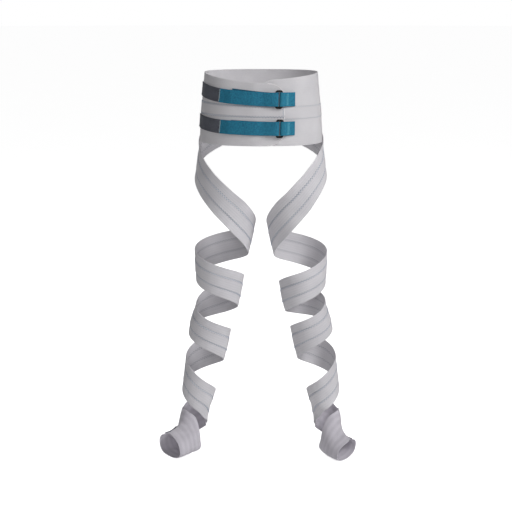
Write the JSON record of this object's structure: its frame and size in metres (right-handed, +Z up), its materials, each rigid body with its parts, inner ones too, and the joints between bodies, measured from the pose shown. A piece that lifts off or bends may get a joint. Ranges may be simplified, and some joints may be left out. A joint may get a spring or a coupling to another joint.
{
  "type": "derotation leg brace with lap belt",
  "caption": "Elastic lap belt with strap closures and spiral leg bands that wind down to foot wraps and turn the legs outward, shown in its worn form.",
  "frame": {"origin": "centre of the waist, half way up the lap belt, where the brace sits on its wearer", "axes": "+Z up along the waist, the wearer faces -Y, the wearer's left is +X"},
  "size_m": [0.4014, 0.1914, 0.7773],
  "materials": {
    "belt_elastic": "light grey woven elastic with sewn seams",
    "band_elastic": "grey woven elastic with blue-grey zigzag seams",
    "wrap_elastic": "grey ribbed elastic",
    "strap_webbing": "teal looped webbing",
    "hook_tape": "dark grey hook tape, matt",
    "ring_plastic": "black moulded plastic, satin"
  },
  "bodies": {
    "root": {"lap_belt": "belt_elastic", "upper_strap": "strap_webbing", "upper_ring": "ring_plastic", "upper_ring_loop": "strap_webbing", "upper_hook_tab": "hook_tape", "lower_strap": "strap_webbing", "lower_ring": "ring_plastic", "lower_ring_loop": "strap_webbing", "lower_hook_tab": "hook_tape", "right_thigh_band": "band_elastic", "right_knee_band": "band_elastic", "right_calf_band": "band_elastic", "right_shin_band": "band_elastic", "right_foot_wrap": "wrap_elastic", "right_foot_tab": "hook_tape", "left_thigh_band": "band_elastic", "left_knee_band": "band_elastic", "left_calf_band": "band_elastic", "left_shin_band": "band_elastic", "left_foot_wrap": "wrap_elastic", "left_foot_tab": "hook_tape"}
  },
  "joints": []
}
